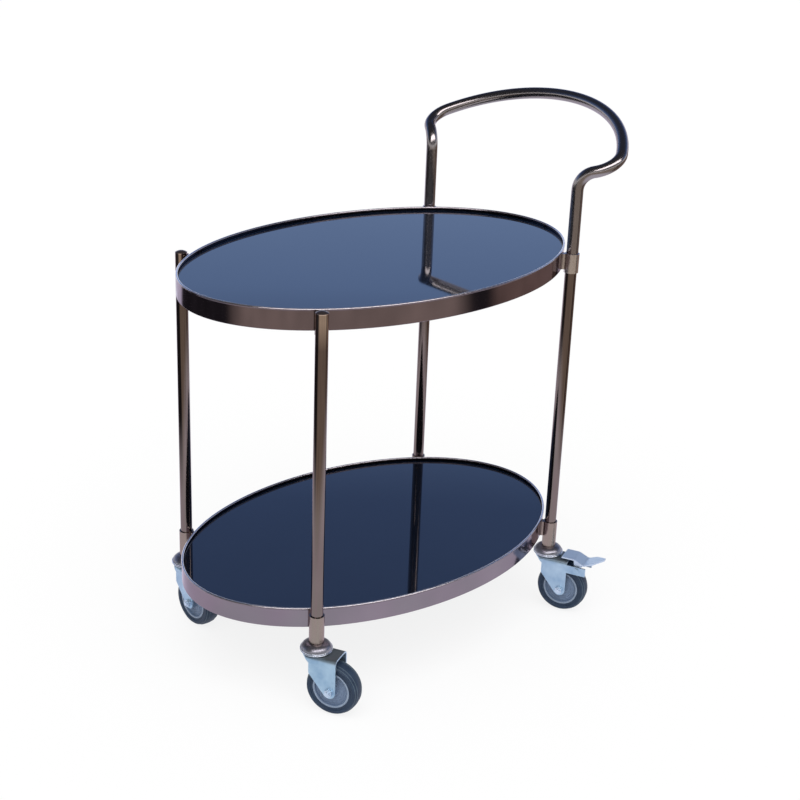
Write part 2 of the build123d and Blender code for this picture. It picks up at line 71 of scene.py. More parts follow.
# Cards that only reflections see: a floor that darkens further out, a ceiling, and one for the highlights
FLOOR_CARD_HEIGHT = 0.001
FLOOR_CARD_START = 0.9
FLOOR_CARD_FULL = 1.35
FLOOR_CARD_PATCHES = (2.5, 3.0)
FLOOR_CARD_PATCH_NOISE = (0.3, 0.7)
FLOOR_CARD_PATCH_RANGE = (0.72, 1.28)
PALE_FLOOR_NOISE = (0.35, 0.65)
PALE_FLOOR = (0.95, 0.88, 1.04)
PALE_FLOOR_PATCH = (0.86, 0.92, 0.98)
BROWN = (0.44, 0.37, 0.31)
DARK_BROWN = (0.30, 0.22, 0.18)
BLACK = (0.03, 0.028, 0.032)
LILAC = (1.00, 0.98, 1.12)
# Colours round the floor card, by share of a turn: a half is towards the camera, less is to its left
FLOOR_CARD_COLOURS = [
    (0.000, LILAC), (0.150, LILAC), (0.165, BLACK), (0.350, BLACK),
    (0.390, BROWN), (0.695, BROWN), (0.718, BLACK), (0.738, BLACK),
    (0.755, DARK_BROWN), (0.900, DARK_BROWN), (0.930, LILAC), (1.000, LILAC),
]
HALF_TURN = 0.5
CEILING_HEIGHT = 6.0
# Colours of the ceiling card, by share of its radius
CEILING_COLOURS = [
    (0.00, (0.05, 0.05, 0.06)), (0.20, (0.05, 0.06, 0.09)), (0.26, (0.070, 0.108, 0.224)),
    (0.40, (0.101, 0.162, 0.344)), (0.53, (0.26, 0.40, 0.745)), (0.75, (0.353, 0.505, 0.86)),
    (1.00, (0.50, 0.65, 0.95)),
]
# Share of a turn, to each side of the camera's direction, over which the ceiling goes from black to blue
CEILING_FRONT = (0.20, 0.30)
CEILING_FRONT_COLOUR = (0.045, 0.045, 0.052)
# The highlight card, above the camera and a little to its right
FRONT_CARD = {"distance": 3.0, "width": 8.0, "bottom": 2.8, "top": 5.5, "strength": 4.5}
FRONT_CARD_HEADING = TOWARDS_CAMERA + radians(26.0)
FRONT_CARD_COLOUR = (1.0, 0.96, 0.97, 1.0)

# Sizes of the solids that the detail pieces sit on
TRAY_LENGTH = 0.800
TRAY_WIDTH = 0.523
FRONT_LEG_ANGLE = radians(45.3)
REAR_LEG_ANGLE = radians(43.7)
LUG_WIDTH = 0.012
LUG_INSET = 0.002
BAND_THICKNESS = 0.003
WHEEL_RADIUS = 0.050
WHEEL_HALF_WIDTH = 0.016
TREAD_DROP = 0.005
HUB_RADIUS = 0.035
HUB_RIM_HALF = 0.0145
HUB_WEB_HALF = 0.0105
HUB_WEB_SLOPE = 0.0015
HUB_WEB_START = 0.0125
HUB_WEB_END = 0.030
DOME_RADIUS = 0.028
DOME_RING_LIFTS = (0.0024, 0.0054)

# Detail pieces
RING_STEPS = 128
LIP_STEPS = 360
BEAD_STEPS = 12
LIP_RADIUS = 0.0022
LIP_DROP = 0.0016
HUB_RING_HALF_WIDTH = 0.0018
HUB_RING_HALF_HEIGHT = 0.0006
HUB_RIDGES = (0.0155, 0.0195, 0.0235, 0.0275)
HUB_RIDGE_RADIUS = 0.0007
TREAD_LINES = (0.0085, 0.0135)
TREAD_LINE_RADIUS = 0.0006
DOME_RING_RADIUS = 0.0009
WELD_RADIUS = 0.0017
WELD_RIPPLE = 0.0003
WELD_RIPPLE_LENGTH = 0.0018
WELD_STEP = 0.0006

# Noise of each texture: waves per metre, and detail
BRONZE_TONE = (9.0, 2.0)
BRONZE_WAVES = (35.0, 1.0)
DRAWN_LINES = (60.0, 4.0)
PAINTED_TOP_PATCHES = (25.0, 3.0)
LIP_AND_CAP_WAVES = (30.0, 1.0)
GLASS_TONE = (3.0, 2.0)
GLASS_DUST = (420.0, 2.0)
GLASS_WIPING = (9.0, 5.0)
GLASS_WAVES = (2.2, 0.0)
ZINC_TONE = (38.0, 4.0)
ZINC_SATIN = (260.0, 3.0)
ZINC_GRAIN = (500.0, 2.0)
STEEL_TONE = (120.0, 2.0)
STEEL_MARKS = (400.0, 3.0)
MOULDED_TONE = (70.0, 5.0)
MOULDED_SHEEN = (180.0, 3.0)
MOULDED_GRAIN_DETAIL = 2.0
WEAR_PATCHES = (160.0, 3.0)

# Bump of each texture: strength, and depth in metres
BRONZE_BUMP = (0.04, 0.0004)
GLASS_BUMP = (0.02, 0.001)
ZINC_BUMP = (0.06, 0.0002)
STEEL_BUMP = (0.05, 0.0001)
MOULDED_BUMP = (0.25, 0.0002)

# Width of the worn edges
BRONZE_WEAR = 0.0008
ZINC_WEAR = 0.0010
MOULDED_WEAR = 0.0012

# How noise and face directions turn into shares of a colour
TONE_NOISE = (0.3, 0.7)
WEAR_BEVEL_SAMPLES = 4
WEAR_AGREEMENT = (0.80, 0.995)
WEAR_NOISE = (0.35, 0.65)
WEAR_SHARE = (0.35, 1.0)
UPWARD_LIMITS = (0.25, 0.85)
PAINTED_TOP_SHARE = (0.85, 1.0)
DUST_NOISE = (0.66, 0.80)
DUST_SHARE = (0.0, 0.06)

# Node sockets that carry colours in a mix, and where a ramp's new stop waits until it is placed
MIX_COLOUR_INPUTS = (6, 7)
MIX_COLOUR_OUTPUT = 2
RAMP_MIDDLE = 0.5

# How the drawn lines' noise is stretched, on upright tubes and along the bands
UPRIGHT_LINES = (14.0, 14.0, 0.25)
LEVEL_LINES = (0.25, 0.25, 14.0)
# The bronze's sheen at glancing angles
GLANCING_TINT = (0.80, 0.76, 0.82, 1.0)

# Material colours and surfaces: colour between dark and light, worn colour at edges, roughness range
BRONZE_TUBE = {
    "dark": (0.194, 0.155, 0.140), "light": (0.226, 0.181, 0.164), "worn": (0.46, 0.41, 0.40),
    "rough": (0.06, 0.13), "lines": UPRIGHT_LINES,
}
BRONZE_SLEEVE = {
    "dark": (0.29, 0.235, 0.200), "light": (0.34, 0.275, 0.235), "worn": (0.52, 0.46, 0.43),
    "rough": (0.20, 0.32), "lines": UPRIGHT_LINES,
}
# The upper sleeves: the sleeve metal painted about twice as pale, standing in for the light on them
PAINTED_LIT_SLEEVE = {
    "dark": (0.57, 0.530, 0.500), "light": (0.67, 0.625, 0.590), "worn": (0.72, 0.68, 0.65),
    "rough": (0.20, 0.32), "lines": UPRIGHT_LINES,
}
BRONZE_HANDLE = {
    "dark": (0.275, 0.252, 0.252), "light": (0.325, 0.298, 0.298), "worn": (0.50, 0.47, 0.47),
    "rough": (0.16, 0.26), "lines": LEVEL_LINES,
}
BRONZE_BAND = {
    "dark": (0.240, 0.200, 0.226), "light": (0.280, 0.230, 0.260), "worn": (0.50, 0.45, 0.47),
    "rough": (0.07, 0.15), "lines": LEVEL_LINES,
}
# The front legs' paler top, a painted highlight, and the heights from the upper band's lower edge over
# which it comes in
LEG_TOP_PAINTED_LIGHT = (0.54, 0.450, 0.390)
LEG_TOP_FADE = (-0.025, 0.022)
# The bands' inner faces darkened with painted shade, fully shaded where a face's plane passes this far
# from the tray's middle
INSIDE_PAINTED_SHADE = (0.030, 0.036, 0.056)
INSIDE_SHADE_FADE = 0.05
# The lip's faces that look up are painted near white as a highlight; its under side is dark bronze
ROLLED_LIP = {
    "under": (0.24, 0.20, 0.22), "top": (0.90, 0.87, 0.91),
    "rough": (0.16, 0.26), "metallic": (1.0, 0.97),
}
# The cap's top is painted near black as shade, and its sides pale as a painted highlight
BRONZE_CAP = {
    "under": (0.90, 0.78, 0.74), "top": (0.09, 0.06, 0.06),
    "rough": (0.12, 0.22), "metallic": (1.0, 0.85),
}
GLASS = {
    "dark": (0.003, 0.006, 0.014), "light": (0.005, 0.009, 0.020), "dust": (0.20, 0.23, 0.28),
    "rough": (0.02, 0.05), "wiping": (1.0, 2.5, 1.0), "ior": 2.6,
}
# Forks: the top painted darker than the sides, as painted shade
FORK_ZINC = {
    "dark": (0.29, 0.43, 0.58), "light": (0.45, 0.60, 0.72), "worn": (0.66, 0.76, 0.84),
    "top": (0.17, 0.20, 0.22), "rough": (0.30, 0.44), "metallic": 0.85,
}
# Pedals, axle bolts and nuts: the zinc painted paler than on the forks, and paler still on top, as a
# painted highlight
PEDAL_ZINC = {
    "dark": (0.50, 0.60, 0.74), "light": (0.60, 0.70, 0.82), "worn": (0.80, 0.86, 0.92),
    "top": (0.64, 0.76, 0.88), "rough": (0.30, 0.44), "metallic": 0.75,
}
# Domes: the zinc painted darker, and darker still on top, as painted shade
DOME_ZINC = {
    "dark": (0.32, 0.33, 0.38), "light": (0.39, 0.40, 0.46), "worn": (0.50, 0.53, 0.58),
    "top": (0.26, 0.25, 0.28), "rough": (0.30, 0.40), "metallic": 0.94,
}
RING_ZINC = {
    "dark": (0.70, 0.76, 0.84), "light": (0.80, 0.85, 0.91), "worn": (0.90, 0.93, 0.96),
    "top": (0.78, 0.83, 0.90), "rough": (0.10, 0.18), "metallic": 1.0,
}
HUB_PLASTIC = {
    "dark": (0.125, 0.175, 0.270), "light": (0.160, 0.220, 0.330), "worn": (0.26, 0.32, 0.42),
    "rough": (0.36, 0.50), "shine": 0.4, "grain": 700.0,
}
HUB_RING_PLASTIC = {
    "dark": (0.20, 0.26, 0.36), "light": (0.26, 0.32, 0.42), "worn": (0.32, 0.38, 0.46),
    "rough": (0.34, 0.46), "shine": 0.4, "grain": 700.0,
}
TYRE_RUBBER = {
    "dark": (0.014, 0.028, 0.056), "light": (0.022, 0.042, 0.078), "worn": (0.045, 0.070, 0.110),
    "rough": (0.42, 0.60), "shine": 0.3, "grain": 800.0,
}
# The tyre's rubber painted paler on the tread's ridge lines, as a painted highlight
TREAD_LINE_PAINTED_HIGHLIGHT = {
    "dark": (0.060, 0.092, 0.125), "light": (0.085, 0.125, 0.165), "worn": (0.10, 0.14, 0.18),
    "rough": (0.42, 0.60), "shine": 0.3, "grain": 800.0,
}
PAD_RUBBER = {
    "dark": (0.02, 0.02, 0.02), "light": (0.04, 0.04, 0.04), "worn": (0.06, 0.06, 0.06),
    "rough": (0.60, 0.80), "shine": 0.4, "grain": 900.0,
}
BEARING_STEEL = {"dark": (0.50, 0.51, 0.53), "light": (0.62, 0.63, 0.65), "rough": (0.12, 0.24)}


# Material helpers
def new_material(name):
    """An empty node material with its main shader."""
    material = bpy.data.materials.new(name)
    material.use_nodes = True
    shader = material.node_tree.nodes["Principled BSDF"]
    return material, shader


def add_node(owner, kind, **settings):
    """A new node in a material or world, with its settings."""
    node = owner.node_tree.nodes.new(kind)
    for name, value in settings.items():
        setattr(node, name, value)
    return node


def join(owner, output, socket):
    """A link from an output to a socket."""
    owner.node_tree.links.new(output, socket)


def noise(material, scale, detail, stretch=(1.0, 1.0, 1.0)):
    """Noise in the frame's own metres, stretched along an axis where asked. Gives its factor output."""
    place = add_node(material, "ShaderNodeTexCoord")
    mapping = add_node(material, "ShaderNodeMapping")
    mapping.inputs["Scale"].default_value = stretch
    texture = add_node(material, "ShaderNodeTexNoise")
    texture.inputs["Scale"].default_value = scale
    texture.inputs["Detail"].default_value = detail
    join(material, place.outputs["Object"], mapping.inputs["Vector"])
    join(material, mapping.outputs["Vector"], texture.inputs["Vector"])
    return texture.outputs["Fac"]


def ramp(owner, factor, stops):
    """A colour ramp through (position, colour) stops."""
    node = add_node(owner, "ShaderNodeValToRGB")
    elements = node.color_ramp.elements
    while len(elements) < len(stops):
        elements.new(RAMP_MIDDLE)
    for element, (position, colour) in zip(elements, stops):
        element.position = position
        element.color = (*colour, 1.0)
    join(owner, factor, node.inputs["Fac"])
    return node.outputs["Color"]


def span(owner, factor, low, high, start=0.0, end=1.0):
    """A value between start and end, spread over the range from low to high."""
    node = add_node(owner, "ShaderNodeMapRange")
    node.inputs["From Min"].default_value = start
    node.inputs["From Max"].default_value = end
    node.inputs["To Min"].default_value = low
    node.inputs["To Max"].default_value = high
    join(owner, factor, node.inputs["Value"])
    return node.outputs["Result"]


def mix_colour(owner, factor, first, second):
    """Two colours, each an output or a constant, mixed by a factor."""
    node = add_node(owner, "ShaderNodeMix", data_type="RGBA")
    join(owner, factor, node.inputs["Factor"])
    for index, colour in zip(MIX_COLOUR_INPUTS, (first, second)):
        socket = node.inputs[index]
        if isinstance(colour, tuple):
            socket.default_value = (*colour[:3], 1.0)
        else:
            join(owner, colour, socket)
    return node.outputs[MIX_COLOUR_OUTPUT]


def multiply(owner, first, second):
    """The product of two outputs."""
    node = add_node(owner, "ShaderNodeMath", operation="MULTIPLY")
    join(owner, first, node.inputs[0])
    join(owner, second, node.inputs[1])
    return node.outputs["Value"]


def mottled(material, scale, detail, dark, light):
    """A colour that drifts between dark and light."""
    stops = list(zip(TONE_NOISE, (dark, light)))
    return ramp(material, noise(material, scale, detail), stops)


def bump(material, shader, height, strength, depth):
    """A bump of the shader's surface."""
    node = add_node(material, "ShaderNodeBump")
    node.inputs["Strength"].default_value = strength
    node.inputs["Distance"].default_value = depth
    join(material, height, node.inputs["Height"])
    join(material, node.outputs["Normal"], shader.inputs["Normal"])


def edge_wear(material, radius):
    """1 along sharp edges and 0 away from them, broken up by noise."""
    rounded = add_node(material, "ShaderNodeBevel", samples=WEAR_BEVEL_SAMPLES)
    rounded.inputs["Radius"].default_value = radius
    surface = add_node(material, "ShaderNodeNewGeometry")
    compare = add_node(material, "ShaderNodeVectorMath", operation="DOT_PRODUCT")
    join(material, rounded.outputs["Normal"], compare.inputs[0])
    join(material, surface.outputs["Normal"], compare.inputs[1])
    edge = span(material, compare.outputs["Value"], 1.0, 0.0, *WEAR_AGREEMENT)
    patches = span(material, noise(material, *WEAR_PATCHES), *WEAR_SHARE, *WEAR_NOISE)
    return multiply(material, edge, patches)


def upward(material):
    """1 on faces that look up, and 0 on upright ones."""
    surface = add_node(material, "ShaderNodeNewGeometry")
    parts = add_node(material, "ShaderNodeSeparateXYZ")
    join(material, surface.outputs["Normal"], parts.inputs["Vector"])
    return span(material, parts.outputs["Z"], 0.0, 1.0, *UPWARD_LIMITS)


# Materials
def bronze_metal(name, dark, light, worn, rough, lines):
    """Polished bronze coloured metal: slow drift of tone, drawn lines in its sheen, worn edges."""
    material, shader = new_material(name)
    tone = mottled(material, *BRONZE_TONE, dark, light)
    colour = mix_colour(material, edge_wear(material, BRONZE_WEAR), tone, worn)
    join(material, colour, shader.inputs["Base Color"])
    drawn = noise(material, *DRAWN_LINES, stretch=lines)
    join(material, span(material, drawn, *rough), shader.inputs["Roughness"])
    bump(material, shader, noise(material, *BRONZE_WAVES), *BRONZE_BUMP)
    shader.inputs["Metallic"].default_value = 1.0
    shader.inputs["Specular Tint"].default_value = GLANCING_TINT
    return material


def shade_inside(material, painted_shade):
    """The band's metal with painted shade, a dark colour, on the faces that look towards the tray's
    middle.
    """
    low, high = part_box("upper_rim")
    shader = material.node_tree.nodes["Principled BSDF"]
    surface = add_node(material, "ShaderNodeNewGeometry")
    place = add_node(material, "ShaderNodeTexCoord")
    outward = add_node(material, "ShaderNodeVectorMath", operation="SUBTRACT")
    outward.inputs[1].default_value = (Vector(low) + Vector(high)) / 2
    join(material, place.outputs["Object"], outward.inputs[0])
    compare = add_node(material, "ShaderNodeVectorMath", operation="DOT_PRODUCT")
    join(material, outward.outputs["Vector"], compare.inputs[0])
    join(material, surface.outputs["Normal"], compare.inputs[1])
    inner = span(material, compare.outputs["Value"], 1.0, 0.0, start=-INSIDE_SHADE_FADE, end=0.0)
    metal = shader.inputs["Base Color"].links[0].from_socket
    join(material, mix_colour(material, inner, metal, painted_shade), shader.inputs["Base Color"])
    return material


def paint_light_on_top(material, colour):
    """The tube's metal, painted paler where it stands beside the upper band: a painted highlight."""
    band_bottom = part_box("upper_rim")[0][2]
    shader = material.node_tree.nodes["Principled BSDF"]
    place = add_node(material, "ShaderNodeTexCoord")
    parts = add_node(material, "ShaderNodeSeparateXYZ")
    join(material, place.outputs["Object"], parts.inputs["Vector"])
    heights = [band_bottom + height for height in LEG_TOP_FADE]
    share = span(material, parts.outputs["Z"], 0.0, 1.0, *heights)
    metal = shader.inputs["Base Color"].links[0].from_socket
    join(material, mix_colour(material, share, metal, colour), shader.inputs["Base Color"])
    return material


def top_painted_metal(name, under, top, rough, metallic):
    """Bronze coloured metal with painted light and shade: faces that look up take the top colour, upright
    ones the under colour.
    """
    material, shader = new_material(name)
    patches = span(material, noise(material, *PAINTED_TOP_PATCHES), *PAINTED_TOP_SHARE)
    # The painted top: light and shade painted by which way a face looks
    painted_top = multiply(material, upward(material), patches)
    join(material, mix_colour(material, painted_top, under, top), shader.inputs["Base Color"])
    drawn = noise(material, *DRAWN_LINES, stretch=LEVEL_LINES)
    join(material, span(material, drawn, *rough), shader.inputs["Roughness"])
    bump(material, shader, noise(material, *LIP_AND_CAP_WAVES), *BRONZE_BUMP)
    join(material, span(material, painted_top, *metallic), shader.inputs["Metallic"])
    return material


def dark_glass(dark, light, dust, rough, wiping, ior):
    """Dark blue backed glass with faint wiping marks and a little dust."""
    material, shader = new_material("dark_glass")
    tone = mottled(material, *GLASS_TONE, dark, light)
    specks = span(material, noise(material, *GLASS_DUST), *DUST_SHARE, *DUST_NOISE)
    join(material, mix_colour(material, specks, tone, dust), shader.inputs["Base Color"])
    marks = noise(material, *GLASS_WIPING, stretch=wiping)
    join(material, span(material, marks, *rough), shader.inputs["Roughness"])
    bump(material, shader, noise(material, *GLASS_WAVES), *GLASS_BUMP)
    shader.inputs["IOR"].default_value = ior
    return material


def zinc_plate(name, dark, light, worn, top, rough, metallic):
    """Zinc plate on pressed steel: cloudy tone, satin sheen, worn edges, and painted light and shade on
    the faces that look up, which take the top colour.
    """
    material, shader = new_material(name)
    tone = mottled(material, *ZINC_TONE, dark, light)
    # Painted light and shade on the faces that look up
    shaded = mix_colour(material, upward(material), tone, top)
    colour = mix_colour(material, edge_wear(material, ZINC_WEAR), shaded, worn)
    join(material, colour, shader.inputs["Base Color"])
    satin = noise(material, *ZINC_SATIN)
    join(material, span(material, satin, *rough), shader.inputs["Roughness"])
    bump(material, shader, noise(material, *ZINC_GRAIN), *ZINC_BUMP)
    shader.inputs["Metallic"].default_value = metallic
    return material


def bearing_steel(dark, light, rough):
    """Polished bearing steel with fine turning marks."""
    material, shader = new_material("bearing_steel")
    tone = mottled(material, *STEEL_TONE, dark, light)
    join(material, tone, shader.inputs["Base Color"])
    marks = noise(material, *STEEL_MARKS)
    join(material, span(material, marks, *rough), shader.inputs["Roughness"])
    bump(material, shader, marks, *STEEL_BUMP)
    shader.inputs["Metallic"].default_value = 1.0
    return material


def moulded(name, dark, light, worn, rough, shine, grain):
    """A moulded rubber or plastic: mottled colour, uneven sheen, a fine grain and rubbed edges."""
    material, shader = new_material(name)
    tone = mottled(material, *MOULDED_TONE, dark, light)
    colour = mix_colour(material, edge_wear(material, MOULDED_WEAR), tone, worn)
    join(material, colour, shader.inputs["Base Color"])
    join(material, span(material, noise(material, *MOULDED_SHEEN), *rough), shader.inputs["Roughness"])
    bump(material, shader, noise(material, grain, MOULDED_GRAIN_DETAIL), *MOULDED_BUMP)
    shader.inputs["Specular IOR Level"].default_value = shine
    return material


tube_metal = bronze_metal("bronze_tube", **BRONZE_TUBE)
# Front legs: a painted highlight on their top, beside the upper band
front_leg_metal = paint_light_on_top(bronze_metal("bronze_front_leg", **BRONZE_TUBE), LEG_TOP_PAINTED_LIGHT)
sleeve_metal = bronze_metal("bronze_sleeve", **BRONZE_SLEEVE)
# Upper sleeves: a painted lit copy of the sleeve metal
bright_sleeve = bronze_metal("bright_sleeve", **PAINTED_LIT_SLEEVE)
handle_metal = bronze_metal("bronze_handle", **BRONZE_HANDLE)
# Bands: painted shade on the inner faces
band_metal = shade_inside(bronze_metal("bronze_band", **BRONZE_BAND), INSIDE_PAINTED_SHADE)
rolled_lip = top_painted_metal("rolled_lip", **ROLLED_LIP)
cap_metal = top_painted_metal("bronze_cap", **BRONZE_CAP)
fork_zinc = zinc_plate("fork_zinc", **FORK_ZINC)
pedal_zinc = zinc_plate("pedal_zinc", **PEDAL_ZINC)
dome_zinc = zinc_plate("dome_zinc", **DOME_ZINC)
ring_zinc = zinc_plate("ring_zinc", **RING_ZINC)
hub_plastic = moulded("hub_plastic", **HUB_PLASTIC)
hub_ring_plastic = moulded("hub_ring", **HUB_RING_PLASTIC)
tyre_rubber = moulded("tyre_rubber", **TYRE_RUBBER)
tread_line_highlight = moulded("tread_line_highlight", **TREAD_LINE_PAINTED_HIGHLIGHT)
slot_materials = {
    "frame_metal": tube_metal,
    "tray_glass": dark_glass(**GLASS),
    "pad_rubber": moulded("pad_rubber", **PAD_RUBBER),
    "zinc_steel": fork_zinc,
    "bearing_steel": bearing_steel(**BEARING_STEEL),
    "hub_plastic": hub_plastic,
    "tyre_rubber": tyre_rubber,
}
node_endings = {
    "_rim": band_metal,
    "_upper_sleeve": bright_sleeve,
    "_lower_sleeve": sleeve_metal,
    "_saddle": sleeve_metal,
    "_cap": cap_metal,
    "front_left_leg": front_leg_metal,
    "front_right_leg": front_leg_metal,
    "handle": handle_metal,
    "_stem": dome_zinc,
    "_brake_pedal": pedal_zinc,
    "_axle_bolt": pedal_zinc,
    "_axle_nut": pedal_zinc,
}


def material_for(node, slot):
    """The material of a node: one named by the end of its name, or else its slot's."""
    for ending, material in node_endings.items():
        if node.endswith(ending):
            return material
    return slot_materials[slot]


for subpart in record["subparts"]:
    chosen = material_for(subpart["node"], subpart["material_slot"])
    for material_slot in frame["nodes"][subpart["node"]].material_slots:
        material_slot.material = chosen


# Detail pieces
def add_piece(name, shape, material, body):
    """A finished mesh as an object that rides on a body."""
    mesh = bpy.data.meshes.new(name)
    bmesh.ops.recalc_face_normals(shape, faces=shape.faces)
    shape.to_mesh(mesh)
    shape.free()
    for face in mesh.polygons:
        face.use_smooth = True
    mesh.materials.append(material)
    piece = bpy.data.objects.new(name, mesh)
    bpy.context.collection.objects.link(piece)
    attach(piece, body)


def oval_loop(shape, middle, first, second):
    """A closed loop of points about a middle, with its two half axes."""
    loop = []
    for step in range(BEAD_STEPS):
        angle = 2 * pi * step / BEAD_STEPS
        loop.append(shape.verts.new(middle + first * cos(angle) + second * sin(angle)))
    return loop


def bridge(shape, loops):
    """Faces between neighbouring loops of points."""
    for first, second in zip(loops, loops[1:]):
        for index in range(len(first)):
            after = (index + 1) % len(first)
            shape.faces.new((first[index], first[after], second[after], second[index]))


def add_ring(shape, place, axis, radius, along, half_width, half_height):
    """A ring of oval section about an axis, added to a mesh. Width is along the radius."""
    axis = Vector(axis).normalized()
    side = axis.orthogonal().normalized()
    up = axis.cross(side)
    loops = []
    for step in range(RING_STEPS):
        turn = 2 * pi * step / RING_STEPS
        outward = side * cos(turn) + up * sin(turn)
        middle = Vector(place) + outward * radius + axis * along
        loops.append(oval_loop(shape, middle, outward * half_width, axis * half_height))
    bridge(shape, loops + loops[:1])


def tread_radius(along):
    """The tyre's radius at a distance from its middle."""
    curve = (WHEEL_HALF_WIDTH ** 2 + TREAD_DROP ** 2) / (2 * TREAD_DROP)
    return WHEEL_RADIUS - curve + sqrt(curve ** 2 - along ** 2)


def web_half(radius):
    """Half the hub web's thickness at a radius."""
    share = (radius - HUB_WEB_START) / (HUB_WEB_END - HUB_WEB_START)
    return HUB_WEB_HALF + HUB_WEB_SLOPE * (1 - share)


def dress_wheel(corner):
    """The hub's pale rim ring and moulded ridges, and the lines round the tread, painted paler than the
    tyre as a highlight.
    """
    spin = joints[f"{corner}_wheel_spin"]
    place = spin["pos_m"]
    axis = spin["axis"]
    body = f"{corner}_wheel"
    rim = bmesh.new()
    ridges = bmesh.new()
    lines = bmesh.new()
    ring_radius = HUB_RADIUS - HUB_RING_HALF_WIDTH
    ring_section = (HUB_RING_HALF_WIDTH, HUB_RING_HALF_HEIGHT)
    ridge_section = (HUB_RIDGE_RADIUS, HUB_RIDGE_RADIUS)
    line_section = (TREAD_LINE_RADIUS, TREAD_LINE_RADIUS)
    for side in (-1, 1):
        add_ring(rim, place, axis, ring_radius, side * HUB_RIM_HALF, *ring_section)
        for radius in HUB_RIDGES:
            add_ring(ridges, place, axis, radius, side * web_half(radius), *ridge_section)
        for along in TREAD_LINES:
            add_ring(lines, place, axis, tread_radius(along), side * along, *line_section)
    add_piece(f"{corner}_hub_ring", rim, hub_ring_plastic, body)
    add_piece(f"{corner}_hub_ridges", ridges, hub_plastic, body)
    add_piece(f"{corner}_tread_lines", lines, tread_line_highlight, body)


def dress_dome(corner):
    """The two rolled rings round the lower edge of the caster's dome."""
    crown = Vector(joints[f"{corner}_swivel_turn"]["pos_m"])
    rings = bmesh.new()
    for lift in DOME_RING_LIFTS:
        add_ring(rings, crown, (0, 0, 1), DOME_RADIUS, lift, DOME_RING_RADIUS, DOME_RING_RADIUS)
    add_piece(f"{corner}_dome_rings", rings, ring_zinc, "frame")


def dress_rim(tier):
    """The rolled lip along the top edge of one tray's band, kept from reaching past the band's end at low
    x.
    """
    low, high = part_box(f"{tier}_rim")
    centre = (Vector(low) + Vector(high)) / 2
    shape = bmesh.new()
    loops = []
    for step in range(LIP_STEPS):
        turn = 2 * pi * step / LIP_STEPS
        outward = Vector((TRAY_WIDTH * cos(turn), TRAY_LENGTH * sin(turn), 0)).normalized()
        on_edge = Vector((TRAY_LENGTH / 2 * cos(turn), TRAY_WIDTH / 2 * sin(turn), 0))
        edge = Vector((centre.x, centre.y, high[2])) + on_edge
        middle = edge - outward * BAND_THICKNESS / 2 - Vector((0, 0, LIP_DROP))
        loop = oval_loop(shape, middle, outward * LIP_RADIUS, Vector((0, 0, LIP_RADIUS)))
        for point in loop:
            point.co.x = max(point.co.x, low[0])
        loops.append(loop)
    bridge(shape, loops + loops[:1])
    add_piece(f"{tier}_rim_lip", shape, rolled_lip, "frame")


def add_weld(shape, foot, height):
    """An upright rippled weld bead, closed at both ends."""
    count = round(height / WELD_STEP)
    loops = []
    for step in range(count + 1):
        lift = height * step / count
        radius = WELD_RADIUS + WELD_RIPPLE * sin(2 * pi * lift / WELD_RIPPLE_LENGTH)
        middle = foot + Vector((0, 0, lift))
        loops.append(oval_loop(shape, middle, Vector((radius, 0, 0)), Vector((0, radius, 0))))
    bridge(shape, loops)
    shape.faces.new(reversed(loops[0]))
    shape.faces.new(loops[-1])


def weld_feet(corner):
    """Where the lug's two upright edges meet the band, in plan."""
    low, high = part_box("upper_rim")
    centre = (Vector(low) + Vector(high)) / 2
    end = 1 if corner.startswith("rear") else -1
    side = 1 if corner.endswith("right") else -1
    angle = REAR_LEG_ANGLE if end > 0 else FRONT_LEG_ANGLE
    long_half = TRAY_LENGTH / 2
    short_half = TRAY_WIDTH / 2
    on_rim = Vector((end * long_half * cos(angle), side * short_half * sin(angle), 0))
    outward = Vector((end * short_half * cos(angle), side * long_half * sin(angle), 0)).normalized()
    tangent = Vector((-outward.y, outward.x, 0))
    middle = Vector((centre.x, centre.y, 0)) + on_rim
    return [middle + tangent * LUG_WIDTH / 2, middle - tangent * LUG_WIDTH / 2]


def dress_welds(tier):
    """The weld beads between one tray's band and its lugs."""
    low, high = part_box(f"{tier}_rim")
    beads = bmesh.new()
    for corner in CORNERS:
        holder = "saddle" if tier == "upper" and corner.startswith("front") else f"{tier}_sleeve"
        holder_low, holder_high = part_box(f"{corner}_{holder}")
        bottom = max(low[2], holder_low[2]) + LUG_INSET
        top = min(high[2], holder_high[2]) - LUG_INSET
        for foot in weld_feet(corner):
            add_weld(beads, foot + Vector((0, 0, bottom)), top - bottom)
    add_piece(f"{tier}_weld_beads", beads, tube_metal, "frame")


for corner in CORNERS:
    dress_wheel(corner)
    dress_dome(corner)
for tier in ("upper", "lower"):
    dress_welds(tier)
    dress_rim(tier)


# Stage
def add_stage(name, shape, material):
    """A mesh of the stage as an object."""
    mesh = bpy.data.meshes.new(name)
    shape.to_mesh(mesh)
    shape.free()
    mesh.materials.append(material)
    thing = bpy.data.objects.new(name, mesh)
    bpy.context.collection.objects.link(thing)
    return thing


def wide_disc():
    """A round sheet that reaches far past the cart."""
    shape = bmesh.new()
    bmesh.ops.create_circle(shape, cap_ends=True, segments=FLOOR_STEPS, radius=FLOOR_RADIUS)
    return shape


def seen_ray(owner):
    """1 for camera, glossy and transmission rays, and 0 for the rays that light the cart."""
    path = add_node(owner, "ShaderNodeLightPath")
    first = add_node(owner, "ShaderNodeMath", operation="MAXIMUM")
    second = add_node(owner, "ShaderNodeMath", operation="MAXIMUM")
    join(owner, path.outputs["Is Camera Ray"], first.inputs[0])
    join(owner, path.outputs["Is Glossy Ray"], first.inputs[1])
    join(owner, first.outputs["Value"], second.inputs[0])
    join(owner, path.outputs["Is Transmission Ray"], second.inputs[1])
    return second.outputs["Value"]


